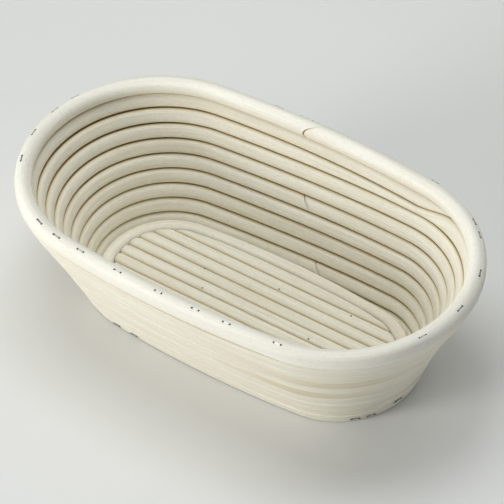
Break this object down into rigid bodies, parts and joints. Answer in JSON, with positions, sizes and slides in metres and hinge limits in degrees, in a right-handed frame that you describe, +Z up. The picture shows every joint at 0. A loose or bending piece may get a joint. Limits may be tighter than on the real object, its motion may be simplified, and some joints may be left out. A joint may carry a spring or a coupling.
{
  "type": "banneton basket",
  "caption": "Oval proofing basket wound from rattan cane, with a round rim and a floor of straight reeds in a round hoop, nailed to three cross battens.",
  "frame": {"origin": "on the surface the basket stands on, under the middle of the basket", "axes": "+X along the basket, +Y across it, +Z up towards the open rim"},
  "size_m": [0.2718, 0.1562, 0.0841],
  "materials": {
    "cane": "unvarnished peeled rattan cane, pale cream, matt with a faint satin sheen, fine fibres along its length",
    "reed": "unvarnished straight rattan reed, pale cream, matt",
    "batten": "planed softwood strip, unvarnished",
    "wire": "flat galvanised steel wire and plain steel nails"
  },
  "bodies": {
    "root": {"rim_hoop": "cane", "coil_upper": "cane", "coil_middle": "cane", "coil_lower": "cane", "base_hoop": "cane", "floor_reed_01": "reed", "floor_reed_02": "reed", "floor_reed_03": "reed", "floor_reed_04": "reed", "floor_reed_05": "reed", "floor_reed_06": "reed", "floor_reed_07": "reed", "floor_reed_08": "reed", "floor_reed_09": "reed", "cross_batten_1": "batten", "cross_batten_2": "batten", "cross_batten_3": "batten", "rim_staples": "wire", "base_staples": "wire", "wall_pins": "wire", "batten_nails": "wire"}
  },
  "joints": []
}
